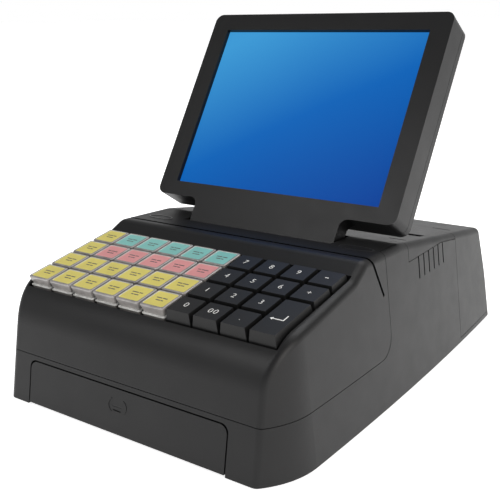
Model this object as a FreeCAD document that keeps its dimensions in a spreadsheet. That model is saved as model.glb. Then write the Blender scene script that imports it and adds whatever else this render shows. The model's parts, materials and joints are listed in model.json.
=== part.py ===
import FreeCAD, Part
import math
import os
import Sketcher
from FreeCAD import Placement, Rotation, Vector

# A compact countertop cash register: a wedge-shaped housing with a sloping keyboard, a card swipe
# slot behind it, a tilting touch display on a neck, and a receipt printer under the rear top cover.
# X is to the operator's right, Y is towards the back, Z is up. The origin is on the table, under
# the middle of the housing.

DIMENSIONS = [
    # housing plan at table level, and the walls
    ("base_width", 221.0), ("base_depth", 324.0), ("corner_radius", 50.2), ("corner_length", 36.0),
    ("side_radius", 3159.0), ("rear_radius", 12.0), ("wall_draft", 6.6), ("wall", 3.0),
    ("foot_lift", 1.0), ("form_height", 104.0), ("seam_gap", 0.4),
    # side profile
    ("nose_lean", 9.2), ("nose_radius", 33.0), ("deck_drop", 3.2), ("deck_end", -70.0),
    ("crest_y", -55.0), ("crest_z", 96.2), ("ridge_y", -8.0), ("ridge_z", 95.5),
    ("rear_top_y", 143.0), ("rear_top_z", 73.5), ("side_round", 5.0),
    # seams
    ("skirt_seam_z", 32.5), ("side_seam_y", -30.0), ("side_seam_round", 14.0),
    ("rear_seam_y", 86.0), ("top_seam_z", 82.0), ("rail_x", 87.0), ("rail_y", 3.0), ("top_skin", 3.8),
    ("deck_rim_x", 94.0),
    # keyboard
    ("key_pitch", 19.05), ("key_tilt", 11.09), ("key_front", -142.3), ("key_top", 77.2),
    ("key_gap", 0.85), ("key_height", 9.0), ("key_skin", 1.3),
    ("board_drop", 17.0), ("board_thick", 1.6),
    # card slot
    ("slot_y", -48.0), ("slot_lean", 25.5), ("slot_depth", 29.0), ("slot_width", 2.0),
    # front door
    ("door_x", -2.0), ("door_width", 154.0), ("door_top", 28.5), ("door_bottom", 2.0),
    ("door_thick", 2.6), ("door_corner", 5.0), ("door_gap", 0.9), ("door_pin_y", -159.0), ("door_pin_z", 4.2),
    # display
    ("screen_y", 22.2), ("screen_z", 170.6), ("screen_tilt", 31.69), ("screen_width", 165.0),
    ("screen_height", 123.7), ("frame_width", 194.0), ("frame_top", 75.0), ("frame_bottom", 72.5),
    ("frame_depth", 17.6), ("back_depth", 5.0), ("frame_radius", 6.0), ("bezel_skin", 2.8),
    ("neck_width", 118.0), ("neck_thick", 12.0), ("hinge_y", -18.5), ("hinge_z", 89.0),
    ("barrel_radius", 8.2), ("shaft_radius", 2.5), ("shaft_fit", 0.06),
    # receipt printer
    ("lid_front", 24.0), ("lid_rear", 82.0), ("lid_half", 36.0), ("lid_gap", 0.6), ("lid_pin_radius", 1.2),
    ("roll_y", 55.0), ("roll_z", 52.0), ("roll_radius", 22.0), ("roll_half", 28.5),
    ("platen_y", 31.0), ("platen_z", 79.0), ("platen_radius", 5.0), ("platen_half", 29.0),
]

document = FreeCAD.newDocument("cash_register")
sheet = document.addObject("Spreadsheet::Sheet", "dims")
for row, (alias, amount) in enumerate(DIMENSIONS, start=1):
    sheet.set(f"A{row}", alias)
    sheet.set(f"B{row}", str(amount))
    sheet.setAlias(f"B{row}", alias)
document.recompute()

ALIASES = sorted((alias for alias, amount in DIMENSIONS), key=len, reverse=True)
SUB_PARTS = []


def value(expression):
    """The number that an expression of sheet aliases stands for."""
    result = sheet.evalExpression(str(expression))
    return float(getattr(result, "Value", result))


def linked(expression):
    """The same expression, spelled for an object other than the sheet."""
    text = ""
    word = ""
    for letter in str(expression) + " ":
        if letter.isalnum() or letter == "_":
            word += letter
            continue
        text += f"dims.{word}" if word in ALIASES else word
        text += letter
        word = ""
    return text.strip()


def bind(thing, **expressions):
    for name, expression in expressions.items():
        thing.setExpression(name, linked(expression))


def place(thing, x=0, y=0, z=0):
    for axis, expression in (("x", x), ("y", y), ("z", z)):
        thing.setExpression(f".Placement.Base.{axis}", linked(expression))


def box(name, x0, x1, y0, y1, z0, z1):
    made = document.addObject("Part::Box", name)
    bind(made, Length=f"({x1}) - ({x0})", Width=f"({y1}) - ({y0})", Height=f"({z1}) - ({z0})")
    place(made, x0, y0, z0)
    return made


def rod(name, x0, x1, y, z, radius):
    """A round bar along X."""
    made = document.addObject("Part::Cylinder", name)
    made.Placement = Placement(Vector(0, 0, 0), Rotation(Vector(0, 1, 0), 90))
    bind(made, Radius=radius, Height=f"({x1}) - ({x0})")
    place(made, x0, y, z)
    return made


def post(name, x, y, z0, z1, radius):
    """A round bar along Z."""
    made = document.addObject("Part::Cylinder", name)
    bind(made, Radius=radius, Height=f"({z1}) - ({z0})")
    place(made, x, y, z0)
    return made


def wedge(name, width, depth, top_width, top_depth, z0, z1):
    """A block that tapers evenly from z0 up to z1."""
    made = document.addObject("Part::Wedge", name)
    made.Placement = Placement(Vector(0, 0, 0), Rotation(Vector(1, 0, 0), 90))
    bind(
        made,
        Xmin=f"-({width}) / 2", Xmax=f"({width}) / 2", Zmin=f"-({depth}) / 2", Zmax=f"({depth}) / 2",
        X2min=f"-({top_width}) / 2", X2max=f"({top_width}) / 2",
        Z2min=f"-({top_depth}) / 2", Z2max=f"({top_depth}) / 2", Ymin=z0, Ymax=z1,
    )
    return made


def fuse(name, pieces):
    made = document.addObject("Part::MultiFuse", name)
    made.Shapes = pieces
    return made


def common(name, first, second):
    made = document.addObject("Part::Common", name)
    made.Base = first
    made.Tool = second
    return made


def cut(name, base, tools):
    made = document.addObject("Part::Cut", name)
    made.Base = base
    made.Tool = tools[0] if len(tools) == 1 else fuse(name + "_tools", tools)
    return made


def round_edges(name, base, amounts):
    """Round each edge whose middle a test accepts: amounts lists (test, radius) pairs."""
    document.recompute()
    made = document.addObject("Part::Fillet", name)
    made.Base = base
    edges = []
    for number, edge in enumerate(base.Shape.Edges, start=1):
        middle = edge.valueAt((edge.FirstParameter + edge.LastParameter) / 2)
        for accepts, radius in amounts:
            if accepts(middle, edge):
                edges.append((number, value(radius), value(radius)))
                break
    made.Edges = edges
    return made


def near(y, z, reach=0.6):
    """Accepts an edge that runs along X at this height and depth."""
    def accepts(middle, edge):
        along = abs(edge.Vertexes[0].Point.x - edge.Vertexes[-1].Point.x) > 1
        return along and abs(middle.y - value(y)) < reach and abs(middle.z - value(z)) < reach
    return accepts


def along_y(z):
    """Accepts an edge that runs along Y at this height."""
    def accepts(middle, edge):
        along = abs(edge.Vertexes[0].Point.y - edge.Vertexes[-1].Point.y) > 1
        return along and abs(middle.z - z) < 0.1
    return accepts


def draw(sketch, points, radii=None):
    """A closed outline through points of two expressions.

    radii bends the side after a point into an arc: outwards, or inwards if its radius is negative.
    """
    radii = radii or {}
    spots = [Vector(value(across), value(up), 0) for across, up in points]
    count = len(spots)
    for index in range(count):
        start, end = spots[index], spots[(index + 1) % count]
        if index in radii:
            radius = abs(value(radii[index]))
            middle = (start + end) * 0.5
            chord = end - start
            side = math.copysign(1, value(radii[index]))
            outward = Vector(chord.y, -chord.x, 0).normalize() * side
            half = chord.Length / 2
            rise = radius - math.sqrt(radius * radius - half * half)
            shape = Part.Arc(start, middle + outward * rise, end)
        else:
            shape = Part.LineSegment(start, end)
        sketch.addGeometry(shape, False)
    # the end that a curve calls its start is found by position, because an arc may turn it round
    def end_at(index, spot):
        return 1 if sketch.getPoint(index, 1).distanceToPoint(spot) < 1e-6 else 2
    for index, (across, up) in enumerate(points):
        before = (index - 1) % count
        here = end_at(index, spots[index])
        there = end_at(before, spots[index])
        sketch.addConstraint(Sketcher.Constraint("Coincident", before, there, index, here))
        for kind, expression in (("DistanceX", across), ("DistanceY", up)):
            number = sketch.addConstraint(
                Sketcher.Constraint(kind, -1, 1, index, here, value(expression)))
            name = f"{kind}{index}"
            sketch.renameConstraint(number, name)
            sketch.setExpression(f"Constraints.{name}", linked(expression))
    for index, radius in radii.items():
        number = sketch.addConstraint(Sketcher.Constraint("Radius", index, abs(value(radius))))
        sketch.renameConstraint(number, f"Radius{index}")
        sketch.setExpression(f"Constraints.Radius{index}", linked(f"abs({radius})"))


def side_extrusion(name, points, half_width, radii=None):
    """A profile drawn in Y and Z, as wide as half_width each side of X = 0."""
    sketch = document.addObject("Sketcher::SketchObject", name + "_sketch")
    sketch.Placement = Placement(Vector(0, 0, 0), Rotation(Vector(1, 1, 1), 120))
    draw(sketch, points, radii)
    made = document.addObject("Part::Extrusion", name)
    made.Base = sketch
    made.DirMode = "Custom"
    made.Dir = Vector(1, 0, 0)
    made.Solid = True
    made.Symmetric = True
    bind(made, LengthFwd=f"2 * ({half_width})")
    return made


def body(name):
    return document.addObject("PartDesign::Body", name)


def plane_sketch(owner, role, points, radii=None, name="outline"):
    plane = next(item for item in owner.Origin.OriginFeatures if item.Role == role)
    sketch = owner.newObject("Sketcher::SketchObject", f"{owner.Name}_{name}")
    sketch.AttachmentSupport = [(plane, "")]
    sketch.MapMode = "FlatFace"
    draw(sketch, points, radii)
    return sketch


def feature(owner, kind, sketch, **settings):
    made = owner.newObject(f"PartDesign::{kind}", f"{sketch.Name}_{kind.lower()}")
    made.Profile = sketch
    for name, amount in settings.items():
        if isinstance(amount, str) and name in ("Length", "Length2"):
            bind(made, **{name: amount})
        else:
            setattr(made, name, amount)
    return made


def rectangle(x0, x1, y0, y1):
    return [(x0, y0), (x1, y0), (x1, y1), (x0, y1)]


def keep(thing, label):
    """Name a finished sub-part, which is then written out under that name."""
    thing.Label = label
    SUB_PARTS.append(thing)
    return thing


# ---------------------------------------------------------------- housing form

FRONT = "(-base_depth / 2)"
REAR = "(base_depth / 2)"
CORNER_Y = f"({FRONT} + corner_length)"


def plan_outline(inset):
    """The housing seen from above, pulled in by an inset: flat front, round corners, bowed sides."""
    bow = f"(side_radius - ({inset}))"
    turn = "((base_depth - corner_length) / side_radius)"
    corner_x = f"(base_width / 2 - corner_radius + sqrt((corner_radius - ({inset}))^2" \
               f" - (corner_length - ({inset}))^2))"
    side_x = f"(base_width / 2 - ({inset}))"
    rear_y = f"({REAR} - ({inset}))"
    turn_y = f"({rear_y} - rear_radius * (1 - {turn}))"
    turn_x = f"(base_width / 2 - side_radius + sqrt({bow}^2 - ({turn_y} - {CORNER_Y})^2))"
    rear_x = f"({turn_x} - rear_radius * sqrt(1 - {turn}^2))"
    right = [
        (corner_x, f"{FRONT} + ({inset})"), (side_x, CORNER_Y), (turn_x, turn_y), (rear_x, rear_y),
    ]
    left = [(f"-{x}", y) for x, y in reversed(right)]
    corner_arc = f"corner_radius - ({inset})"
    arcs = {0: corner_arc, 1: bow, 2: "rear_radius", 4: "rear_radius", 5: bow, 6: corner_arc}
    return right + left, arcs


def drafted_form(name, inset, bottom):
    """The plan outline drawn upwards with its walls leaning in."""
    sections = []
    for level, height in (("low", "0"), ("high", "form_height")):
        sketch = document.addObject("Sketcher::SketchObject", f"{name}_{level}")
        points, arcs = plan_outline(f"({inset}) + ({height}) * tan(wall_draft)")
        draw(sketch, points, arcs)
        place(sketch, z=f"({bottom}) + ({height})")
        sections.append(sketch)
    made = document.addObject("Part::Loft", name)
    made.Sections = sections
    made.Solid = True
    made.Ruled = True
    return made


def deck_z(y):
    return f"(key_top - deck_drop / cos(key_tilt) + tan(key_tilt) * (({y}) - key_front))"


NOSE_Z = f"({deck_z(FRONT)} / (1 - tan(nose_lean) * tan(key_tilt)))"
NOSE_Y = f"({FRONT} + {NOSE_Z} * tan(nose_lean))"
REAR_SLOPE = "((ridge_z - rear_top_z) / (rear_top_y - ridge_y))"


def top_z(y):
    """Height of the rear top surface, which falls away from the ridge."""
    return f"(ridge_z - {REAR_SLOPE} * (({y}) - ridge_y))"


def profile_form(name, inset, floor):
    """The side profile: leaning front, round nose, key deck, crest, ridge and falling rear."""
    low = f"({floor})"
    points = [
        (f"{FRONT} + {low} * tan(nose_lean) + {inset}", low),
        (f"{REAR} - {low} * (base_depth / 2 - rear_top_y) / rear_top_z - {inset}", low),
        (f"rear_top_y - {inset}", f"rear_top_z - {inset}"),
        (f"ridge_y + 0.1 * {inset}", f"ridge_z - {inset}"),
        (f"crest_y + 0.5 * {inset}", f"crest_z - {inset}"),
        (f"deck_end + 0.4 * {inset}", f"{deck_z('deck_end')} - {inset}"),
        (f"{NOSE_Y} + 1.0 * {inset}", f"{NOSE_Z} - 0.85 * {inset}"),
    ]
    block = side_extrusion(name + "_block", points, "base_width")
    rounds = [("nose_radius", 6), ("12", 5), ("10", 4), ("30", 3), ("5", 2)]
    tests = []
    for radius, index in rounds:
        y, z = points[index]
        reduced = f"{radius} - ({inset})" if index in (6,) else radius
        tests.append((near(y, z), reduced))
    return round_edges(name, block, tests)




def rear_side_edge(middle, edge):
    """Accepts the top side edges behind the ridge."""
    start, end = edge.Vertexes[0].Point, edge.Vertexes[-1].Point
    return middle.z > 60 and abs(middle.x) > 80 and middle.y > -7 and abs(start.y - end.y) > 0.5


sharp_form = common(
    "sharp_form", drafted_form("outer_plan", "0", "0"), profile_form("outer_profile", "0", "foot_lift"))
outer_form = round_edges("outer_form", sharp_form, [(rear_side_edge, "side_round")])
inner_form = common(
    "inner_form", drafted_form("inner_plan", "wall", "0"),
    profile_form("inner_profile", "wall", "foot_lift + wall"))
shell = cut("shell", outer_form, [inner_form])


# ---------------------------------------------------------------- seams between the housing parts

def front_region(name, gap):
    """Space of the top cover: above the skirt seam, with a rounded lower corner at its rear end."""
    low = f"(skirt_seam_z - {gap})"
    rear = f"(side_seam_y + {gap})"
    bend = "side_seam_round"
    points = [
        ("-base_depth", low), (f"{rear} - {bend}", low), (rear, f"{low} + {bend}"),
        (rear, "form_height + 20"), ("-base_depth", "form_height + 20"),
    ]
    sides = side_extrusion(name + "_sides", points, "base_width", {1: bend})
    deck = box(
        name + "_deck", f"-deck_rim_x - {gap}", f"deck_rim_x + {gap}", "side_seam_y - 5",
        f"ridge_y + {gap}", "ridge_z - 12", "form_height + 20")
    return fuse(name, [sides, deck])


def rear_top_region(name, gap):
    """Space of the rear top cover: above the side seam, which dips to follow the top at its end."""
    low = f"(top_seam_z - {gap})"
    dip_y = f"(ridge_y + (ridge_z - top_skin - top_seam_z) / {REAR_SLOPE})"
    rear = f"(rear_seam_y + {gap})"

    def above_seam(part_name, front, half_width):
        points = [
            (front, low), (dip_y, low), (rear, f"{top_z(rear)} - top_skin - {gap}"),
            (rear, "form_height + 20"), (front, "form_height + 20"),
        ]
        return side_extrusion(part_name, points, half_width)

    wide = above_seam(name + "_wide", f"rail_y - {gap}", "base_width")
    narrow = above_seam(name + "_narrow", f"ridge_y + seam_gap - {gap}", f"(rail_x + {gap})")
    return fuse(name, [wide, narrow])


def rear_region(name, gap):
    """Space of the rear cover, down to just above the floor of the housing."""
    return box(
        name, "-base_width", "base_width", f"rear_seam_y + seam_gap - {gap}", "base_depth",
        f"foot_lift + wall + 0.5 - {gap}", "form_height + 20")


# ---------------------------------------------------------------- key positions

KEY_COLUMNS = 10
KEY_ROWS = 4
ENTER_COLUMN = 9


def on_deck(x, along, above):
    """Placement of a spot on the sloping keyboard: along it from the front, above the key tops."""
    tilt = math.radians(value("key_tilt"))
    spot = Vector(
        x,
        value("key_front") + along * math.cos(tilt) - above * math.sin(tilt),
        value("key_top") + along * math.sin(tilt) + above * math.cos(tilt))
    return Placement(spot, Rotation(Vector(1, 0, 0), value("key_tilt")))


def key_spots():
    """(name, column centre, row centre, rows high) of each key; row 1 is nearest the operator."""
    pitch = value("key_pitch")
    for row in range(KEY_ROWS):
        for column in range(KEY_COLUMNS):
            if column == ENTER_COLUMN and row == 1:
                continue
            tall = 2 if column == ENTER_COLUMN and row == 0 else 1
            name = "key_enter" if tall == 2 else f"key_row{row + 1}_column{column + 1:02d}"
            x = (column - (KEY_COLUMNS - 1) / 2) * pitch
            along = (row + tall / 2) * pitch
            yield name, x, along, tall


def make_key(name, x, along, tall):
    """A hollow tapered keycap with the stem that slides in its switch."""
    width = "(key_pitch - key_gap)"
    depth = f"({tall} * key_pitch - key_gap)"
    skin = "key_skin"
    outer = wedge(
        name + "_outer", width, depth, f"{width} - 2.6", f"{depth} - 2.6", "-key_height", "0")
    hollow = wedge(
        name + "_hollow", f"{width} - 2 * {skin}", f"{depth} - 2 * {skin}",
        f"{width} - 2.6 - 2 * {skin}", f"{depth} - 2.6 - 2 * {skin}", "-key_height - 0.01", "-1.6")
    stem = box(name + "_stem", "-2", "2", "-2", "2", "-12", "-1")
    cap = cut(name + "_cap", outer, [hollow])
    key = fuse(name, [cap, stem])
    key.Placement = on_deck(x, along, 0)
    keep(key, name)


def make_switches():
    """One switch under each key, in the same place: a low body, a narrower top and a stem well."""
    switches = []
    for name, x, along, tall in key_spots():
        low = box(name + "_switch_low", "-7", "7", "-7", "7", "-board_drop", "-11.2")
        top = box(name + "_switch_top", "-4.6", "4.6", "-4.6", "4.6", "-11.2", "-6.6")
        well = box(name + "_switch_well", "-2.1", "2.1", "-2.1", "2.1", "-16.2", "-6")
        switch = cut(name + "_switch", fuse(name + "_switch_body", [low, top]), [well])
        switch.Placement = on_deck(x, along, 0)
        switches.append(switch)
    group = document.addObject("Part::Compound", "key_switches")
    group.Links = switches
    keep(group, "key_switches")


def make_keyboard_board():
    """The printed circuit board that all the switches stand on."""
    board = body("keyboard_board")
    half = f"({KEY_COLUMNS} * key_pitch / 2 - 1)"
    outline = plane_sketch(
        board, "XY_Plane", rectangle(f"-{half}", half, "1", f"{KEY_ROWS} * key_pitch - 1"))
    feature(board, "Pad", outline, Length="board_thick")
    board.Placement = on_deck(0, 0, -value("board_drop") - value("board_thick"))
    keep(board, "keyboard_board")


# ---------------------------------------------------------------- housing parts

LID_PIN_Y = "(lid_rear - 1.2)"
LID_PIN_Z = f"({top_z(LID_PIN_Y)} - 2.4)"


def tilted(thing, y, z, degrees):
    """Turn a piece about X and set it down at a height and depth."""
    turn = Rotation(Vector(1, 0, 0), degrees)
    spot = Vector(0, value(y), value(z))
    thing.Placement = Placement(spot, turn).multiply(thing.Placement)
    return thing


def slot_frame(name, x0, x1, y0, y1, z0, z1):
    """A box in the card slot's own frame, whose Z runs up the leaning slot from the top surface."""
    made = box(name, x0, x1, y0, y1, z0, z1)
    document.recompute()
    for axis in ("x", "y", "z"):
        made.setExpression(f".Placement.Base.{axis}", None)
    return tilted(made, "slot_y", "crest_z + 0.2", value("slot_lean"))


def make_top_cover():
    """The front cover: key opening, card swipe channel, opening for the display's neck."""
    half = f"({KEY_COLUMNS} * key_pitch / 2 + 0.6)"
    cover = common("top_cover_shell", shell, front_region("front_region", "0"))
    opening = box("key_opening", f"-{half}", half, "-0.8", f"{KEY_ROWS} * key_pitch + 0.8", "-30", "30")
    document.recompute()
    for axis in ("x", "y", "z"):
        opening.setExpression(f".Placement.Base.{axis}", None)
    opening.Placement = on_deck(-value(half), -0.8, -30)
    channel = common(
        "swipe_channel",
        slot_frame(
            "swipe_walls", "-base_width", "base_width", "-slot_width / 2 - 2", "slot_width / 2 + 2",
            "-slot_depth - 2", "5"),
        outer_form)
    slot = slot_frame(
        "swipe_slot", "-base_width", "base_width", "-slot_width / 2", "slot_width / 2",
        "-slot_depth", "20")
    head_window = slot_frame(
        "head_window", "-7.3", "7.3", "0", "slot_width / 2 + 3", "-25.3", "-14.7")
    neck = box(
        "neck_opening", "-neck_width / 2 - 1.5", "neck_width / 2 + 1.5", "hinge_y - 12",
        "ridge_y + 5", "ridge_z - 20", "form_height")
    tray = box(
        "key_tray", f"-{half} - 1.6", f"{half} + 1.6", "-2.4", f"{KEY_ROWS} * key_pitch + 2.4",
        "-board_drop", "-deck_drop - 1")
    document.recompute()
    for axis in ("x", "y", "z"):
        tray.setExpression(f".Placement.Base.{axis}", None)
    tray.Placement = on_deck(-value(half) - 1.6, -2.4, -value("board_drop"))
    inside_tray = common("key_tray_inside", tray, outer_form)
    whole = fuse("top_cover_whole", [cover, channel, inside_tray])
    keep(cut("top_cover", whole, [opening, slot, head_window, neck]), "top_cover")


def make_rear_top_cover():
    """The cover over the printer, with the paper opening, its hinge cheeks and three slots."""
    cover = common("rear_top_shell", shell, rear_top_region("rear_top_region", "0"))
    cheeks = [
        box(f"lid_cheek_{side}", x0, x1, "lid_rear - 12", "rear_seam_y - 0.5",
            f"{top_z('lid_rear')} - 8", f"{top_z('lid_rear')} - 1.5")
        for side, x0, x1 in (
            ("left", "-lid_half - 3.4", "-lid_half - lid_gap"),
            ("right", "lid_half + lid_gap", "lid_half + 3.4"))
    ]
    opening = box(
        "paper_opening", "-lid_half - lid_gap", "lid_half + lid_gap", "lid_front - 2.6",
        "lid_rear + 1.8", "ridge_z - 30", "form_height")
    bores = rod(
        "lid_bores", "-lid_half - 2.6", "lid_half + 2.6", LID_PIN_Y, LID_PIN_Z, "lid_pin_radius + 0.08")
    neck = box(
        "rear_neck_opening", "-neck_width / 2 - 1.5", "neck_width / 2 + 1.5", "ridge_y - 5",
        "ridge_y + 2.2", "ridge_z - 20", "form_height")
    slots = [
        box("front_rail_slot", "78", "90", "13.5", "15.5", f"{top_z('14')} - 6", "form_height"),
        box("catch_recess", "72", "87", "42", "50", f"{top_z('46')} - 2", "form_height"),
    ]
    whole = fuse("rear_top_whole", [cover] + cheeks)
    keep(cut("rear_top_cover", whole, [opening, bores, neck] + slots), "rear_top_cover")


def make_rear_cover():
    """The rear cover, with a window for the connector panel and a slot in its top."""
    cover = common("rear_shell", shell, rear_region("rear_region", "0"))
    window = box("panel_window", "-72", "72", "120", "170", "8", "40")
    slot = box("rear_slot", "70", "84", "100", "102", f"{top_z('101')} - 6", "form_height")
    keep(cut("rear_cover", cover, [window, slot]), "rear_cover")


# a groove shaped like a U on each side, where the rear cover's latch is
LATCH_GROOVE = (
    ("front", "73", "74.2", "6.5", "17"), ("rear", "81.8", "83", "6.5", "17"),
    ("foot", "73", "83", "6", "7.2"))
BOARD_SCREWS = [(side * 56, y) for side in (-1, 1) for y in (-60, 18)]
PORTS = [("serial", -59, -37, 24), ("network", -27, -11, 24), ("usb", -5, 9, 18), ("drawer", 15, 28, 22)]


def make_base_housing():
    """The lower housing: floor, skirt, rear side walls with vents, door bay and paper bay."""
    walls = cut(
        "base_walls", shell,
        [front_region("front_space", "seam_gap"), rear_top_region("rear_top_space", "seam_gap"),
         rear_region("rear_space", "seam_gap")])
    door_x0 = "(door_x - door_width / 2)"
    door_x1 = "(door_x + door_width / 2)"
    pieces = [
        walls,
        box("bay_left", f"{door_x0} - 3.4", f"{door_x0} - 1", "-156", "-70", "2.5", "31"),
        box("bay_right", f"{door_x1} + 1", f"{door_x1} + 3.4", "-156", "-70", "2.5", "31"),
        box("bay_back", f"{door_x0} - 3.4", f"{door_x1} + 3.4", "-72", "-70", "2.5", "31"),
        box("bay_roof", f"{door_x0} - 3.4", f"{door_x1} + 3.4", "-152.5", "-70", "29.6", "31"),
        box("paper_bay_front", "-34", "34", "27", "29", "2.5", "66"),
        box("paper_bay_rear", "-34", "34", "80.6", "82.6", "2.5", "72"),
        box("paper_bay_left", "-34", "-32", "27", "82.6", "2.5", "72"),
        box("paper_bay_right", "32", "34", "27", "82.6", "2.5", "72"),
        box("paper_bay_floor", "-34", "34", "27", "82.6", "25", "roll_z - roll_radius - 0.4"),
        box("panel_wall", "-74", "74", "133", "135.4", "2.5", "42"),
        box("hinge_pier_left", "-76", "-66", "-26", "-11", "2.5", "hinge_z - 12"),
        box("hinge_pier_right", "66", "76", "-26", "-11", "2.5", "hinge_z - 12"),
    ]
    holes = [
        round_edges("door_opening", box(
            "door_opening_block", f"{door_x0} - door_gap", f"{door_x1} + door_gap", "-170", "-152.5",
            "-1", "door_top + door_gap"),
            [(along_y(value("door_top") + value("door_gap")), "door_corner")]),
        rod("door_bores", f"{door_x0} - 3", f"{door_x1} + 3", "door_pin_y", "door_pin_z", "1.6"),
    ]
    for side in (-1, 1):
        for number in range(6):
            y = 18 + 8.5 * number
            x0, x1 = sorted((side * 91.5, side * 115))
            holes.append(box(f"vent_{side}_{number}", x0, x1, y - 0.8, y + 0.8, "67", "90"))
        x0, x1 = sorted((side * 106.6, side * 115))
        for name, y0, y1, z0, z1 in LATCH_GROOVE:
            holes.append(box(f"latch_{name}_{side}", x0, x1, y0, y1, z0, z1))
        for y in (-120, 120):
            holes.append(post(f"foot_pocket_{side}_{y}", side * 80, y, "0", "2", "8.2"))
    for name, x0, x1, top in PORTS:
        holes.append(box(f"port_hole_{name}", x0 - 0.3, x1 + 0.3, "130", "140", "7.7", top + 0.3))
    for x, y in BOARD_SCREWS:
        pieces.append(post(f"standoff_{x}_{y}", x, y, "2.5", "8", "3.2"))
        holes.append(post(f"standoff_bore_{x}_{y}", x, y, "4.9", "9", "1.5"))
    holes.append(box("inlet_hole", "40.9", "55.1", "130", "140", "13.9", "26.1"))
    keep(cut("base_housing", fuse("base_whole", pieces), holes), "base_housing")


def make_front_door():
    """The drop-down door in the front skirt, with a pin at each lower corner."""
    x0 = "(door_x - door_width / 2)"
    x1 = "(door_x + door_width / 2)"
    slab = common(
        "door_slab",
        cut("door_skin", outer_form, [box(
            "door_back", "-base_width", "base_width", f"{FRONT} + door_thick + 3.6", "base_depth",
            "-5", "form_height")]),
        round_edges(
            "door_frame", box("door_block", x0, x1, "-170", "-150", "door_bottom", "door_top"),
            [(along_y(value("door_top")), "door_corner")]))
    pins = rod("door_pins", f"{x0} - 2.6", f"{x1} + 2.6", "door_pin_y", "door_pin_z", "1.5")
    ribs = [
        box(f"door_grip_{number}", f"-4 - {half}", f"-4 + {half}", "-159.6", "-157", z, f"{z} + 1")
        for number, half, z in ((0, 3, "15.5"), (1, 3.6, "18"), (2, 3, "20.5"))
    ]
    whole = fuse("door_whole", [slab, pins])
    keep(cut("front_door", whole, [common("door_grip_cut", fuse("door_grips", ribs), box(
        "door_grip_skin", "-20", "20", "-162", "-158.9", "5", "25"))]), "front_door")


# ---------------------------------------------------------------- display

def on_screen(thing):
    """Move a piece made in the display's frame (centre of the glass, Y into it) to its place."""
    thing.Placement = Placement(
        Vector(0, value("screen_y"), value("screen_z")),
        Rotation(Vector(1, 0, 0), -value("screen_tilt"))).multiply(thing.Placement)
    return thing


def hinge_in_screen():
    """The hinge axis as (Y, Z) numbers in the display's frame."""
    lean = math.radians(value("screen_tilt"))
    dy = value("hinge_y - screen_y")
    dz = value("hinge_z - screen_z")
    return dy * math.cos(lean) - dz * math.sin(lean), dy * math.sin(lean) + dz * math.cos(lean)


def upright_edge(half_width, lowest):
    """Accepts the corner edges that run into the display."""
    def accepts(middle, edge):
        start, end = edge.Vertexes[0].Point, edge.Vertexes[-1].Point
        deep = abs(start.y - end.y) > 3
        return deep and abs(abs(middle.x) - value(half_width)) < 0.5 and middle.z > value(lowest)
    return accepts


def make_monitor_bezel():
    """The display's front frame and neck: window, rebate for the panel, and the hinge barrel."""
    y, z = hinge_in_screen()
    half = "frame_width / 2"
    neck = "neck_width / 2"
    bottom = "(-frame_bottom)"
    frame = box("bezel_block", f"-{half}", half, "0", "frame_depth", bottom, "frame_top")
    rounded = round_edges("bezel_rounded", frame, [(upright_edge(half, "-200"), "frame_radius")])
    sketch = document.addObject("Sketcher::SketchObject", "neck_sketch")
    sketch.Placement = Placement(Vector(0, 0, 0), Rotation(Vector(1, 0, 0), 90))
    draw(sketch, [
        (f"-{neck}", str(z)), (neck, str(z)), (neck, f"{bottom} - 6"), (f"{neck} + 6", bottom),
        (f"{neck} + 6", f"{bottom} + 4"), (f"-{neck} - 6", f"{bottom} + 4"),
        (f"-{neck} - 6", bottom), (f"-{neck}", f"{bottom} - 6"),
    ], {2: "-6", 6: "-6"})
    tongue = document.addObject("Part::Extrusion", "neck_block")
    tongue.Base = sketch
    tongue.DirMode = "Custom"
    tongue.Dir = Vector(0, 1, 0)
    tongue.Solid = True
    bind(tongue, LengthFwd="neck_thick")
    barrel = rod("hinge_barrel", f"-{neck}", neck, str(y), str(z), "barrel_radius")
    whole = fuse("bezel_whole", [rounded, tongue, barrel])
    window = box(
        "bezel_window", "-screen_width / 2", "screen_width / 2", "-1", "10",
        "-screen_height / 2", "screen_height / 2")
    hollow = box(
        "bezel_hollow", f"-{half} + bezel_skin", f"{half} - bezel_skin", "3.2", "frame_depth + 1",
        f"{bottom} + bezel_skin", "frame_top - bezel_skin")
    bore = rod("barrel_bore", f"-{neck} - 1", f"{neck} + 1", str(y), str(z), "shaft_radius + shaft_fit")
    keep(on_screen(cut("monitor_bezel", whole, [window, hollow, bore])), "monitor_bezel")


def make_monitor_back():
    """The display's rear cover: a shallow tray with a raised middle."""
    half = "frame_width / 2"
    y0 = "(frame_depth + 0.3)"
    y1 = "(frame_depth + 0.3 + back_depth)"
    tray = round_edges(
        "back_tray",
        box("back_block", f"-{half}", half, y0, y1, "-frame_bottom", "frame_top"),
        [(upright_edge(half, "-200"), "frame_radius")])
    hump = document.addObject("Part::Wedge", "back_hump")
    bind(
        hump, Xmin="-72", Xmax="72", X2min="-64", X2max="64", Ymin=f"{y1} - 1", Ymax=f"{y1} + 7",
        Zmin="-30", Zmax="58", Z2min="-22", Z2max="50")
    hollow = document.addObject("Part::Wedge", "back_hollow")
    bind(
        hollow, Xmin="-69.5", Xmax="69.5", X2min="-61.5", X2max="61.5", Ymin=f"{y0} - 1",
        Ymax=f"{y1} + 4.5", Zmin="-27.5", Zmax="55.5", Z2min="-19.5", Z2max="47.5")
    vents = [
        box(f"back_vent_{number}", f"{-48 + 12 * number} - 3.5", f"{-48 + 12 * number} + 3.5",
            f"{y1} + 3", f"{y1} + 9", "36", "38")
        for number in range(9)
    ]
    keep(on_screen(cut("monitor_back_cover", fuse("back_whole", [tray, hump]), [hollow] + vents)),
         "monitor_back_cover")


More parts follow.
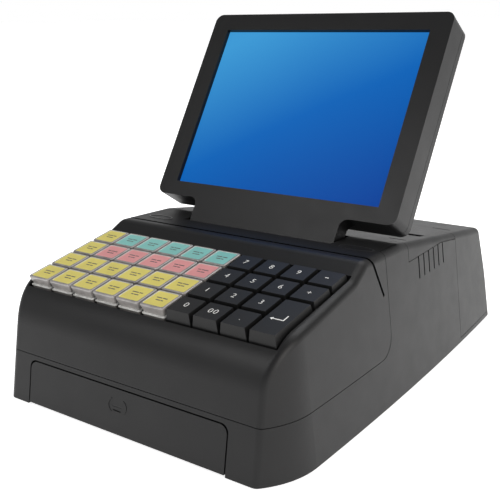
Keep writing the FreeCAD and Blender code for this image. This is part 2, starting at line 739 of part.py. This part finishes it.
def make_lcd_panel():
    """The flat panel with its touch glass, resting against the inside of the bezel."""
    panel = body("lcd_panel")
    outline = plane_sketch(panel, "XZ_Plane", rectangle("-89", "89", "-67.5", "68.5"))
    feature(panel, "Pad", outline, Length="8", Reversed=True)
    panel.Placement = Placement(Vector(0, 3.3, 0), Rotation())
    keep(on_screen(panel), "lcd_panel")


def make_hinge():
    """The steel shaft through the neck, and the two ears that hold it."""
    shaft = rod("hinge_shaft", "-74", "74", "hinge_y", "hinge_z", "shaft_radius")
    keep(shaft, "hinge_shaft")
    ears = []
    for side in (-1, 1):
        x0, x1 = sorted((side * 66.5, side * 75.5))
        ear0, ear1 = sorted((side * 66.5, side * 69))
        foot = box(f"hinge_foot_{side}", x0, x1, "-25.5", "-11.5", "hinge_z - 12", "hinge_z - 10")
        ear = box(f"hinge_ear_{side}", ear0, ear1, "-25.5", "-11.5", "hinge_z - 12", "hinge_z + 3.3")
        ears.append(fuse(f"hinge_side_{side}", [foot, ear]))
    hole = rod("hinge_hole", "-80", "80", "hinge_y", "hinge_z", "shaft_radius")
    keep(cut("hinge_brackets", fuse("hinge_ears", ears), [hole]), "hinge_brackets")


# ---------------------------------------------------------------- inside the housing

def make_card_reader():
    """The magnetic read head and its carrier, behind the wall of the swipe channel."""
    carrier = slot_frame("reader_carrier", "-26", "26", "slot_width / 2 + 2.1", "11", "-28", "-13")
    head = slot_frame("reader_head", "-7", "7", "slot_width / 2 + 0.1", "5", "-25", "-15")
    keep(fuse("card_reader", [carrier, head]), "card_reader")


def make_main_board():
    """The main board with its heat sink, memory, battery and the connectors at its rear edge."""
    parts = [
        box("board_plate", "-62", "62", "-66", "24", "8", "9.6"),
        box("board_tongue", "-60", "-36", "20", "132", "8", "9.6"),
        box("board_strip", "-60", "30", "104", "132", "8", "9.6"),
        box("heat_sink_base", "-30", "10", "-40", "0", "9.5", "12"),
        box("memory", "26", "58", "-20", "-14", "9.5", "14"),
        post("clock_battery", "42", "-4", "9", "12.5", "9"),
    ]
    parts += [
        box(f"heat_sink_fin_{number}", f"{-29 + 6 * number}", f"{-27.4 + 6 * number}", "-40", "0",
            "11", "22")
        for number in range(7)
    ]
    parts += [box(f"port_{name}", x0, x1, "119", "138", "9", top) for name, x0, x1, top in PORTS]
    holes = [post(f"board_hole_{x}_{y}", x, y, "7", "10", "1.7") for x, y in BOARD_SCREWS]
    keep(cut("main_board", fuse("main_board_whole", parts), holes), "main_board")


def make_power_inlet():
    """The low-voltage inlet in the connector panel, with its centre pin."""
    block = box("inlet_block", "41", "55", "121", "137", "14", "26")
    socket = document.addObject("Part::Cylinder", "inlet_socket")
    socket.Placement = Placement(Vector(48, 137.5, 20), Rotation(Vector(1, 0, 0), 90))
    bind(socket, Radius="3.1", Height="11")
    pin = document.addObject("Part::Cylinder", "inlet_pin")
    pin.Placement = Placement(Vector(48, 136, 20), Rotation(Vector(1, 0, 0), 90))
    bind(pin, Radius="1.05", Height="10")
    keep(fuse("power_inlet", [cut("inlet_shell", block, [socket]), pin]), "power_inlet")


def make_printer():
    """The print mechanism, the rubber platen on the lid, the paper roll and the lid itself."""
    frame = box("printer_frame", "-38", "38", "2", "21.5", "58", "84")
    legs = box("printer_foot", "-38", "38", "2", "26.5", "56", "60")
    head = box("print_head", "-31", "31", "21", "24.5", "68", "82")
    keep(fuse("printer_mechanism", [frame, legs, head]), "printer_mechanism")

    platen = body("platen_roller")
    outline = plane_sketch(
        platen, "XZ_Plane",
        [("-platen_half - 3", "0"), ("platen_half + 3", "0"), ("platen_half + 3", "1.5"),
         ("platen_half", "1.5"), ("platen_half", "platen_radius"),
         ("-platen_half", "platen_radius"), ("-platen_half", "1.5"), ("-platen_half - 3", "1.5")])
    turned = feature(platen, "Revolution", outline, Angle=360.0)
    turned.ReferenceAxis = (outline, ["H_Axis"])
    platen.Placement = Placement(Vector(0, value("platen_y"), value("platen_z")), Rotation())
    keep(platen, "platen_roller")

    roll = body("paper_roll")
    outline = plane_sketch(
        roll, "XZ_Plane", rectangle("-roll_half", "roll_half", "6.5", "roll_radius"))
    turned = feature(roll, "Revolution", outline, Angle=360.0)
    turned.ReferenceAxis = (outline, ["H_Axis"])
    roll.Placement = Placement(Vector(0, value("roll_y"), value("roll_z")), Rotation())
    keep(roll, "paper_roll")

    skin = cut("lid_skin", outer_form, [tilted_lid_underside()])
    panel = common("lid_panel", skin, box(
        "lid_frame", "-lid_half", "lid_half", "lid_front", "lid_rear", "50", "form_height"))
    cheeks = [
        box(f"platen_cheek_{name}", x0, x1, "25.6", "36", "76", f"{top_z('36')} - 1")
        for name, x0, x1 in (
            ("left", "-platen_half - 3.4", "-platen_half - 0.5"),
            ("right", "platen_half + 0.5", "platen_half + 3.4"))
    ]
    pins = rod("lid_pins", "-lid_half - 2.4", "lid_half + 2.4", LID_PIN_Y, LID_PIN_Z, "lid_pin_radius")
    whole = fuse("lid_whole", [panel] + cheeks + [pins])
    bore = rod("platen_bore", "-40", "40", "platen_y", "platen_z", "1.56")
    keep(cut("paper_lid", whole, [bore]), "paper_lid")


def tilted_lid_underside():
    """Everything below the underside of the lid, which follows the sloping top surface."""
    points = [
        ("-base_depth", "-10"), ("base_depth", "-10"),
        ("base_depth", f"{top_z('base_depth')} - 2.5"), ("ridge_y - 20", f"{top_z('(ridge_y - 20)')} - 2.5"),
        ("-base_depth", f"{top_z('(ridge_y - 20)')} - 2.5"),
    ]
    return side_extrusion("lid_underside", points, "base_width")


def make_small_parts():
    """The four rubber feet and the screws that close the housing."""
    feet = []
    for side in (-1, 1):
        for y in (-120, 120):
            feet.append(post(f"foot_{side}_{y}", side * 80, y, "0", "1.99", "8"))
    group = document.addObject("Part::Compound", "rubber_feet")
    group.Links = feet
    keep(group, "rubber_feet")

    screws = []
    for x, y in BOARD_SCREWS:
        shank = post(f"screw_shank_{x}_{y}", x, y, "5", "9.8", "1.5")
        head = post(f"screw_head_{x}_{y}", x, y, "9.6", "11.6", "2.8")
        screws.append(fuse(f"screw_{x}_{y}", [shank, head]))
    group = document.addObject("Part::Compound", "board_screws")
    group.Links = screws
    keep(group, "board_screws")


make_top_cover()
make_rear_top_cover()
make_rear_cover()
make_base_housing()
make_front_door()
make_monitor_bezel()
make_monitor_back()
make_lcd_panel()
make_hinge()
make_card_reader()
make_main_board()
make_power_inlet()
make_printer()
make_keyboard_board()
make_switches()
for key_name, key_x, key_along, key_tall in key_spots():
    make_key(key_name, key_x, key_along, key_tall)
make_small_parts()

# ---------------------------------------------------------------- checks and files

document.recompute()
failed = [item.Name for item in document.Objects if {"Invalid", "Error"} & set(item.State)]
if failed:
    raise RuntimeError("these objects failed: " + ", ".join(failed))
for part in SUB_PARTS:
    if part.Shape.isNull() or not part.Shape.isValid() or not part.Shape.Solids:
        raise RuntimeError(f"{part.Label} has no valid shape")

os.makedirs("parts", exist_ok=True)
for part in SUB_PARTS:
    part.Shape.exportStep(f"parts/{part.Label}.step")
    print(f"{part.Label}: {len(part.Shape.Solids)} solid(s), {part.Shape.Volume / 1000:.2f} cm3")
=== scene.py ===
import math

import bpy
from mathutils import Matrix, Vector
from mathutils.bvhtree import BVHTree
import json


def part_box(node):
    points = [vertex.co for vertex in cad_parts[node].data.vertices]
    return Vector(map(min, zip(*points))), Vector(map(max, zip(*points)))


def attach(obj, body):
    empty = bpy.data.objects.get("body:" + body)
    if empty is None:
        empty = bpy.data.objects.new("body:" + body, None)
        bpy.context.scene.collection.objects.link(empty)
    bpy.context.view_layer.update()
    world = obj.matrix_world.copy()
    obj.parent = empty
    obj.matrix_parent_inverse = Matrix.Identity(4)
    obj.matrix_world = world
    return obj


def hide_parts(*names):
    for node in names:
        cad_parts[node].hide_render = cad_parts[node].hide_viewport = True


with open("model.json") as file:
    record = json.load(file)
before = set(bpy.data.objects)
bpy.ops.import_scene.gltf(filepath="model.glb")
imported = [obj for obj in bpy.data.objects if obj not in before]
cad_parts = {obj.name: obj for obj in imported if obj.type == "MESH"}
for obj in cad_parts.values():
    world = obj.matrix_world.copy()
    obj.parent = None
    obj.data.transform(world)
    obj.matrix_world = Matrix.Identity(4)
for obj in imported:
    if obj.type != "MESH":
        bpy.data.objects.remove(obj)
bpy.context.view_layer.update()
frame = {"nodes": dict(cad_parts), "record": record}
nodes = frame["nodes"]

# ---------------------------------------------------------------- materials


def tree_of(name):
    """A new node material with its output, and the things needed to build on it."""
    material = bpy.data.materials.new(name)
    material.use_nodes = True
    tree = material.node_tree
    tree.nodes.clear()
    output = tree.nodes.new("ShaderNodeOutputMaterial")
    shader = tree.nodes.new("ShaderNodeBsdfPrincipled")
    tree.links.new(shader.outputs["BSDF"], output.inputs["Surface"])
    coordinates = tree.nodes.new("ShaderNodeTexCoord")
    return material, tree, shader, coordinates.outputs["Object"]


def noise(tree, place, scale, detail=3.0):
    """Cloudy values from 0 to 1; the scale is in features per metre."""
    node = tree.nodes.new("ShaderNodeTexNoise")
    node.inputs["Scale"].default_value = scale
    node.inputs["Detail"].default_value = detail
    tree.links.new(place, node.inputs["Vector"])
    return node.outputs["Fac"]


def ramp(tree, factor, stops):
    """A colour that changes along a factor, through (position, colour) stops."""
    node = tree.nodes.new("ShaderNodeValToRGB")
    elements = node.color_ramp.elements
    while len(elements) < len(stops):
        elements.new(0.5)
    for element, (position, colour) in zip(elements, stops):
        element.position = position
        element.color = (*colour, 1)
    tree.links.new(factor, node.inputs["Fac"])
    return node.outputs["Color"]


def spread(colour, amount):
    """A colour's darker and lighter neighbours."""
    return tuple(c * (1 - amount) for c in colour), tuple(min(1, c * (1 + amount)) for c in colour)


def grained(name, colour, rough, grain, depth, metal=0.0, coat=0.0, vary=0.12, patch=25.0, shine=0.5):
    """A surface with a slightly uneven colour, uneven sheen and a fine moulded or ground grain."""
    material, tree, shader, place = tree_of(name)
    low, high = spread(colour, vary)
    tree.links.new(ramp(tree, noise(tree, place, patch), [(0.3, low), (0.7, high)]), shader.inputs["Base Color"])
    sheen = tree.nodes.new("ShaderNodeMapRange")
    sheen.inputs["To Min"].default_value = rough - 0.06
    sheen.inputs["To Max"].default_value = rough + 0.06
    tree.links.new(noise(tree, place, patch * 3), sheen.inputs["Value"])
    tree.links.new(sheen.outputs["Result"], shader.inputs["Roughness"])
    bump = tree.nodes.new("ShaderNodeBump")
    bump.inputs["Strength"].default_value = 0.35
    bump.inputs["Distance"].default_value = depth
    tree.links.new(noise(tree, place, grain, 2.0), bump.inputs["Height"])
    tree.links.new(bump.outputs["Normal"], shader.inputs["Normal"])
    shader.inputs["Metallic"].default_value = metal
    shader.inputs["Specular IOR Level"].default_value = shine
    shader.inputs["Coat Weight"].default_value = coat
    return material


def along(tree, place, direction, origin, span):
    """0 to 1 along a direction, from a point over a length."""
    shift = tree.nodes.new("ShaderNodeVectorMath")
    shift.operation = "SUBTRACT"
    shift.inputs[1].default_value = origin
    tree.links.new(place, shift.inputs[0])
    dot = tree.nodes.new("ShaderNodeVectorMath")
    dot.operation = "DOT_PRODUCT"
    dot.inputs[1].default_value = [d / span for d in direction]
    tree.links.new(shift.outputs["Vector"], dot.inputs[0])
    return dot.outputs["Value"]


KEY_TILT = math.radians(11.09)
KEY_UP = Vector((0, -math.sin(KEY_TILT), math.cos(KEY_TILT)))
KEY_BACK = Vector((0, math.cos(KEY_TILT), math.sin(KEY_TILT)))


case = grained("case_plastic", (0.0070, 0.0070, 0.0074), 0.42, 1500, 0.00012, shine=0.28)
display = grained("display_plastic", (0.0055, 0.0055, 0.0058), 0.38, 1700, 0.00010, shine=0.24)
finishes = {
    "case_plastic": case,
    "display_plastic": display,
    "steel": grained("steel", (0.52, 0.53, 0.55), 0.34, 1500, 0.00002, metal=1.0),
    "reader_plastic": grained("reader_plastic", (0.018, 0.018, 0.02), 0.3, 1500, 0.00001),
    "circuit_board": grained("circuit_board", (0.02, 0.15, 0.07), 0.4, 700, 0.00004, vary=0.35, patch=160),
    "connector_plastic": grained("connector_plastic", (0.015, 0.015, 0.016), 0.3, 1500, 0.00001),
    "mechanism_metal": grained("mechanism_metal", (0.20, 0.20, 0.21), 0.4, 1200, 0.00003, metal=0.6),
    "rubber": grained("rubber", (0.018, 0.018, 0.018), 0.75, 1800, 0.00005),
    "paper": grained("paper", (0.86, 0.86, 0.84), 0.7, 2500, 0.00002, vary=0.03),
    "switch_plastic": grained("switch_plastic", (0.045, 0.045, 0.05), 0.5, 1800, 0.00002),
    "key_black": grained("key_black", (0.0070, 0.0070, 0.0072), 0.45, 2600, 0.00002, shine=0.3),
}
ink_white = grained("white_print", (0.82, 0.82, 0.80), 0.5, 2500, 0.00001, vary=0.03)
ink_dark = grained("dark_print", (0.09, 0.08, 0.08), 0.5, 2500, 0.00001, vary=0.1)


def board_material():
    """Green solder mask, and plated connector shells from 1.6 mm above the floor posts up."""
    material, tree, shader, place = tree_of("main_board")
    green = ramp(tree, noise(tree, place, 160), [(0.3, (0.013, 0.10, 0.045)), (0.7, (0.03, 0.19, 0.09))])
    shell = ramp(tree, noise(tree, place, 90), [(0.3, (0.20, 0.20, 0.21)), (0.7, (0.32, 0.32, 0.33))])
    height = along(tree, place, (0, 0, 1), (0, 0, 0.0098), 0.0004)
    mix = tree.nodes.new("ShaderNodeMix")
    mix.data_type = "RGBA"
    tree.links.new(height, mix.inputs["Factor"])
    tree.links.new(green, mix.inputs["A"])
    tree.links.new(shell, mix.inputs["B"])
    tree.links.new(mix.outputs["Result"], shader.inputs["Base Color"])
    shader.inputs["Roughness"].default_value = 0.4
    return material


def screen_material(centre):
    """A lit blue picture, paler at the top left, behind smooth glass."""
    material, tree, shader, place = tree_of("screen")
    tilt = math.radians(31.69)
    up = Vector((0, math.sin(tilt), math.cos(tilt)))
    slant = (Vector((-1, 0, 0)) * 0.55 + up).normalized()
    position = along(tree, place, slant, centre - slant * 0.085, 0.17)
    cloud = noise(tree, place, 11, 1.0)
    blend = tree.nodes.new("ShaderNodeMath")
    blend.operation = "MULTIPLY_ADD"
    blend.inputs[1].default_value = 0.06
    tree.links.new(cloud, blend.inputs[0])
    tree.links.new(position, blend.inputs[2])
    colour = ramp(tree, blend.outputs["Value"], [
        (0.0, (0.0, 0.050, 0.31)), (0.5, (0.004, 0.125, 0.47)), (1.1, (0.048, 0.32, 0.66))])
    shader.inputs["Base Color"].default_value = (0.002, 0.004, 0.01, 1)
    shader.inputs["Specular IOR Level"].default_value = 0.03
    tree.links.new(colour, shader.inputs["Emission Color"])
    shader.inputs["Emission Strength"].default_value = 1.0
    shader.inputs["Roughness"].default_value = 0.3
    return material


finishes["screen"] = screen_material(Vector((0, 0.0222, 0.1706)))
key_boxes = {name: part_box(name) for name in nodes if name.startswith("key_row") or name == "key_enter"}
for slot_name, colour in (
        ("key_yellow", (0.66, 0.57, 0.13)), ("key_cyan", (0.20, 0.50, 0.46)), ("key_pink", (0.66, 0.27, 0.27))):
    finishes[slot_name] = grained(slot_name, colour, 0.35, 1200, 0.00001, coat=0.3, vary=0.05, patch=90)
clear_cap = grained("clear_cap", (0.25, 0.235, 0.225), 0.16, 900, 0.00002, coat=0.6, vary=0.25, patch=140)
# the pale edge is a painted highlight: the white lines where light catches the clear cap's lower rim and its inner
# step
painted_edge_highlight = grained("painted_edge_highlight", (0.62, 0.62, 0.60), 0.2, 900, 0.00002, coat=0.6, vary=0.2, patch=300)

slot_of = {entry["node"]: entry["material_slot"] for entry in frame["record"]["subparts"]}
for name, obj in nodes.items():
    obj.data.materials.clear()
    obj.data.materials.append(finishes[slot_of[name]])
nodes["main_board"].data.materials[0] = board_material()

# ---------------------------------------------------------------- print on the keys


def new_piece(name, vertices, faces, material, body):
    mesh = bpy.data.meshes.new(name)
    mesh.from_pydata([tuple(v) for v in vertices], [], faces)
    mesh.validate()
    mesh.update()
    obj = bpy.data.objects.new(name, mesh)
    bpy.context.scene.collection.objects.link(obj)
    mesh.materials.append(material)
    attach(obj, body)
    return obj


def surface_point(tree, x, y_along, centre):
    """The point of a key's top at a distance back from its centre, and at an X of the row frame."""
    start = Vector((x, centre.y, centre.z)) + KEY_BACK * y_along + KEY_UP * 0.02
    hit = tree.ray_cast(start, -KEY_UP)[0]
    return hit if hit is not None else start - KEY_UP * 0.02


def node_tree_of(name):
    """A node's surface, for finding where a line meets it."""
    mesh = nodes[name].data
    return BVHTree.FromPolygons([v.co.copy() for v in mesh.vertices], [p.vertices[:] for p in mesh.polygons])


def key_top_centre(name):
    """The middle of a key's top, found along its own tilted axes, in which it is symmetric."""
    points = [v.co for v in nodes[name].data.vertices]
    across, back, height = ([p.dot(axis) for p in points] for axis in (Vector((1, 0, 0)), KEY_BACK, KEY_UP))
    return (
        Vector((1, 0, 0)) * (min(across) + max(across)) / 2
        + KEY_BACK * (min(back) + max(back)) / 2 + KEY_UP * max(height))


def raised(outline, x0, y0, tree, centre, thick=0.00012):
    """A closed flat shape laid on the key's top: its outline points, sunk a little below and standing just above."""
    points = [surface_point(tree, centre.x + x0 + x, y0 + y, centre) for x, y in outline]
    count = len(points)
    vertices = [p + KEY_UP * thick for p in points] + [p - KEY_UP * 0.0003 for p in points]
    faces = [tuple(range(count)), tuple(range(2 * count - 1, count - 1, -1))]
    faces += [(i, i + count, (i + 1) % count + count, (i + 1) % count) for i in range(count)]
    return vertices, faces


def bar(width, height):
    x, y = width / 2, height / 2
    return [(-x, -y), (x, -y), (x, y), (-x, y)]


def join(parts):
    vertices, faces = [], []
    for more, more_faces in parts:
        faces += [tuple(i + len(vertices) for i in face) for face in more_faces]
        vertices += more
    return vertices, faces


def printed_text(name, text, size):
    """Figures as a thin solid standing in the key's dished top."""
    curve = bpy.data.curves.new(name + "_outline", "FONT")
    curve.body = text
    curve.size = size
    curve.align_x = "CENTER"
    curve.align_y = "CENTER"
    curve.extrude = 0.0003
    curve.resolution_u = 4
    curve.offset = -0.00011
    curve.space_character = 1.15
    obj = bpy.data.objects.new(name + "_outline", curve)
    bpy.context.scene.collection.objects.link(obj)
    bpy.context.view_layer.update()
    mesh = bpy.data.meshes.new_from_object(obj.evaluated_get(bpy.context.evaluated_depsgraph_get()))
    vertices = [v.co.copy() for v in mesh.vertices]
    faces = [tuple(p.vertices) for p in mesh.polygons]
    bpy.data.objects.remove(obj)
    bpy.data.curves.remove(curve)
    bpy.data.meshes.remove(mesh)
    return vertices, faces


LEGENDS = {
    "key_row1_column07": "0", "key_row1_column08": "00", "key_row1_column09": ".",
    "key_row2_column07": "1", "key_row2_column08": "2", "key_row2_column09": "3",
    "key_row3_column07": "4", "key_row3_column08": "5", "key_row3_column09": "6",
    "key_row3_column10": "+", "key_row4_column07": "7", "key_row4_column08": "8",
    "key_row4_column09": "9",
}
ARROW = [
    (-0.0048, -0.0030), (-0.0030, -0.0018), (-0.0030, -0.0027), (0.0034, -0.0027), (0.0034, 0.0020),
    (0.0040, 0.0020), (0.0040, -0.0033), (-0.0030, -0.0033), (-0.0030, -0.0042)]
LINES = ((0.0013, 0.0080), (-0.0013, 0.0056))

# depth under the top, half width, half depth (mm): the hollow from its roof to its mouth, which clears
# the switch over the key's travel, then the outside from the foot up over the overhanging cap to the card
CAP = (
    (1.7, 6.2, 6.2), (6.4, 6.4, 6.4), (6.9, 7.5, 7.5), (8.9, 7.5, 7.5), (8.9, 8.3, 8.4),
    (6.9, 8.3, 8.4), (6.7, 8.7, 8.8), (6.2, 8.7, 8.8), (6.0, 7.6, 7.8), (1.3, 8.95, 8.95),
    (0.45, 8.95, 8.95), (0.05, 8.55, 8.55), (0.05, 7.75, 7.75), (0.30, 7.65, 7.65))
# per step of CAP: 0 smoked side, 1 pale edge painted as a highlight, 2 clear border; the last face, 3, is the card
CAP_MATERIALS = (0, 0, 0, 0, 0, 1, 1, 1, 0, 0, 2, 2, 1)
STEM = ((12.0, 2.0, 2.0), (1.5, 2.0, 2.0))
CORNER_STEPS = 4


def cap_ring(centre, depth, half_x, half_y, corner):
    """A rounded rectangle round the key's axis, at a depth under its top."""
    points = []
    for quarter, (sx, sy) in enumerate(((1, 1), (-1, 1), (-1, -1), (1, -1))):
        for step in range(CORNER_STEPS + 1):
            angle = math.radians(90 * (quarter + step / CORNER_STEPS))
            x = sx * (half_x - corner) + corner * math.cos(angle)
            y = sy * (half_y - corner) + corner * math.sin(angle)
            points.append(centre + (Vector((1, 0, 0)) * x + KEY_BACK * y - KEY_UP * depth) * 0.001)
    return points


def make_cap(name, centre):
    """The clear cap, its card and its stem, standing for a coloured key's node."""
    rings = [cap_ring(centre, depth, x, y, 1.2) for depth, x, y in CAP]
    count = len(rings[0])
    vertices = [p for ring in rings for p in ring]
    faces, kinds = [tuple(range(count - 1, -1, -1))], [0]
    for level in range(len(rings) - 1):
        for i in range(count):
            a, b = level * count + i, level * count + (i + 1) % count
            faces.append((a, b, b + count, a + count))
            kinds.append(CAP_MATERIALS[level])
    last = (len(rings) - 1) * count
    faces.append(tuple(range(last, last + count)))
    kinds.append(3)
    start = len(vertices)
    for depth, x, y in STEM:
        vertices += cap_ring(centre, depth, x, y, 0.3)
    faces.append(tuple(range(start + count - 1, start - 1, -1)))
    faces.append(tuple(range(start + count, start + 2 * count)))
    faces += [
        (start + i, start + (i + 1) % count, start + count + (i + 1) % count, start + count + i)
        for i in range(count)]
    kinds += [0] * (count + 2)
    obj = new_piece("cap_" + name, vertices, faces, clear_cap, name)
    for extra in (painted_edge_highlight, clear_cap, finishes[slot_of[name]]):
        obj.data.materials.append(extra)
    for polygon, kind in zip(obj.data.polygons, kinds):
        polygon.material_index = kind
    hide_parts(name)
    return BVHTree.FromPolygons(vertices, faces)


for number, name in enumerate(sorted(key_boxes)):
    tree = node_tree_of(name)
    centre = key_top_centre(name)
    if name in LEGENDS:
        vertices, faces = printed_text(name, LEGENDS[name], 0.0062)
        placed = []
        for v in vertices:
            point = surface_point(tree, centre.x + v.x, v.y, centre)
            placed.append(point + KEY_UP * (0.0001 if v.z > 0 else -0.0004))
        new_piece("figure_" + name, placed, faces, ink_white, name)
    elif slot_of[name] == "key_black":
        outline = ARROW if name == "key_enter" else bar(0.0024, 0.0005)
        vertices, faces = raised(outline, 0, 0, tree, centre)
        new_piece("figure_" + name, vertices, faces, ink_white, name)
    else:
        tree = make_cap(name, centre)
        parts = []
        for line, (y, length) in enumerate(LINES):
            first = length * (0.3 + 0.1 * ((number * 3 + line) % 4))
            second = length * 0.92 - first
            parts.append(raised(bar(first, 0.0009), (first - length) / 2, y, tree, centre, 0.00004))
            parts.append(raised(bar(second, 0.0009), (length - second) / 2, y, tree, centre, 0.00004))
        vertices, faces = join(parts)
        new_piece("legend_" + name, vertices, faces, ink_dark, name)

# ---------------------------------------------------------------- grip, and finger recesses whose rims carry a painted highlight, on the case


def band(points, half, tree, toward, sink=0.0006, stand=0.00025):
    """A narrow raised bead along a line of points, laid on a surface seen along a direction."""
    vertices = []
    for i, point in enumerate(points):
        before, after = points[max(i - 1, 0)], points[min(i + 1, len(points) - 1)]
        across = (after - before).cross(toward).normalized() * half
        for corner in (point - across, point + across):
            hit = tree.ray_cast(corner - toward * 0.05, toward)[0]
            vertices += [hit - toward * stand, hit + toward * sink]
    count = len(points)
    faces = [(0, 1, 3, 2), tuple(4 * (count - 1) + i for i in (0, 2, 3, 1))]
    for i in range(count - 1):
        a, b = 4 * i, 4 * i + 4
        faces += [(a, a + 2, b + 2, b), (a + 1, b + 1, b + 3, a + 3), (a, b, b + 1, a + 1),
                  (a + 2, a + 3, b + 3, b + 2)]
    return vertices, faces


def arc(middle, axis_a, axis_b, start, end, steps=12):
    """Points along part of an ellipse, from one angle to another in degrees."""
    turns = [math.radians(start + (end - start) * i / steps) for i in range(steps + 1)]
    return [middle + axis_a * math.cos(t) + axis_b * math.sin(t) for t in turns]


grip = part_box("front_door")
grip_middle = Vector((-0.004, grip[0].y, 0.0186))
door_tree = node_tree_of("front_door")
beads = [
    band(arc(grip_middle, Vector((0.0070, 0, 0)), Vector((0, 0, 0.0052)), start, start + 100), 0.00035,
         door_tree, Vector((0, 1, 0)))
    for start in (-50, 130)]
vertices, faces = join(beads)
new_piece("door_grip_brackets", vertices, faces, case, "door")

top_tree = node_tree_of("top_cover")
down = Vector((0, 0, -1))
# a raised rim round each finger recess, in the lighter, shinier reader plastic: a painted highlight on the recess
# edge
for name, x, y, half in (("left", -0.0778, -0.0344, 0.0100), ("right", 0.0790, -0.0310, 0.0118)):
    ring = arc(Vector((x, y, 0.12)), Vector((half, 0, 0)), Vector((0, 0.0042, 0)), 0, 360, 28)
    if all(top_tree.ray_cast(p, down)[0] is not None for p in ring):
        vertices, faces = band([Vector((p.x, p.y, 0.10)) for p in ring], 0.0005, top_tree, down, 0.0004, 0.00025)
        new_piece("finger_recess_highlight_" + name, vertices, faces, finishes["reader_plastic"], "base")

# ---------------------------------------------------------------- stage, light and camera


def plane(name, size, height, colour):
    mesh = bpy.data.meshes.new(name)
    s = size
    mesh.from_pydata([(-s, -s, height), (s, -s, height), (s, s, height), (-s, s, height)], [], [(0, 1, 2, 3)])
    obj = bpy.data.objects.new(name, mesh)
    bpy.context.scene.collection.objects.link(obj)
    material = grained(name, colour, 0.8, 200, 0.0, vary=0.005, patch=2)
    shader = material.node_tree.nodes["Principled BSDF"]
    shader.inputs["Emission Color"].default_value = (1, 1, 1, 1)
    shader.inputs["Emission Strength"].default_value = 0.8
    mesh.materials.append(material)
    return obj


plane("floor", 30, 0.0, (0.86, 0.86, 0.86))


def lamp(name, place, target, width, depth, power, colour=(1, 1, 1)):
    light = bpy.data.lights.new(name, "AREA")
    light.shape = "RECTANGLE"
    light.size = width
    light.size_y = depth
    light.energy = power
    light.color = colour
    obj = bpy.data.objects.new(name, light)
    obj.location = place
    obj.rotation_euler = (Vector(target) - Vector(place)).to_track_quat("-Z", "Y").to_euler()
    bpy.context.scene.collection.objects.link(obj)


lamp("right_softbox", (1.5, -0.3, 0.7), (0, 0, 0.08), 1.2, 1.0, 14, (1.0, 0.96, 0.92))
lamp("top_softbox", (0.1, 0.7, 1.4), (0, 0, 0.05), 1.4, 1.0, 12)
lamp("front_softbox", (-0.7, -1.3, 1.3), (0, 0, 0.1), 0.9, 0.6, 9)

world = bpy.data.worlds.new("studio")
world.use_nodes = True
sky = world.node_tree
sky_place = sky.nodes.new("ShaderNodeTexCoord").outputs["Generated"]
sky_height = along(sky, sky_place, (0, 0, 1), (0, 0, 0), 1)
sky.links.new(
    ramp(sky, sky_height, [(0.0, (1, 1, 1)), (0.10, (1, 1, 1)), (0.45, (0.22, 0.22, 0.22))]),
    sky.nodes["Background"].inputs["Color"])
sky.nodes["Background"].inputs["Strength"].default_value = 1.0
bpy.context.scene.world = world
bpy.context.scene.view_settings.view_transform = "Standard"

azimuth, elevation, roll = (math.radians(a) for a in (36.33, 15.63, -0.816))
back = Vector((
    math.sin(azimuth) * math.cos(elevation), -math.cos(azimuth) * math.cos(elevation), math.sin(elevation)))
right = (-back).cross(Vector((0, 0, 1))).normalized()
up = right.cross(-back)
right, up = (
    right * math.cos(roll) + up * math.sin(roll), up * math.cos(roll) - right * math.sin(roll))
lens = bpy.data.cameras.new("camera")
lens.lens = 60.5
lens.sensor_width = 36
lens.clip_start = 0.01
camera = bpy.data.objects.new("camera", lens)
camera.matrix_world = Matrix((
    (right.x, up.x, back.x, 0.3198), (right.y, up.y, back.y, -0.4683),
    (right.z, up.z, back.z, 0.2341), (0, 0, 0, 1)))
bpy.context.scene.collection.objects.link(camera)
bpy.context.scene.camera = camera
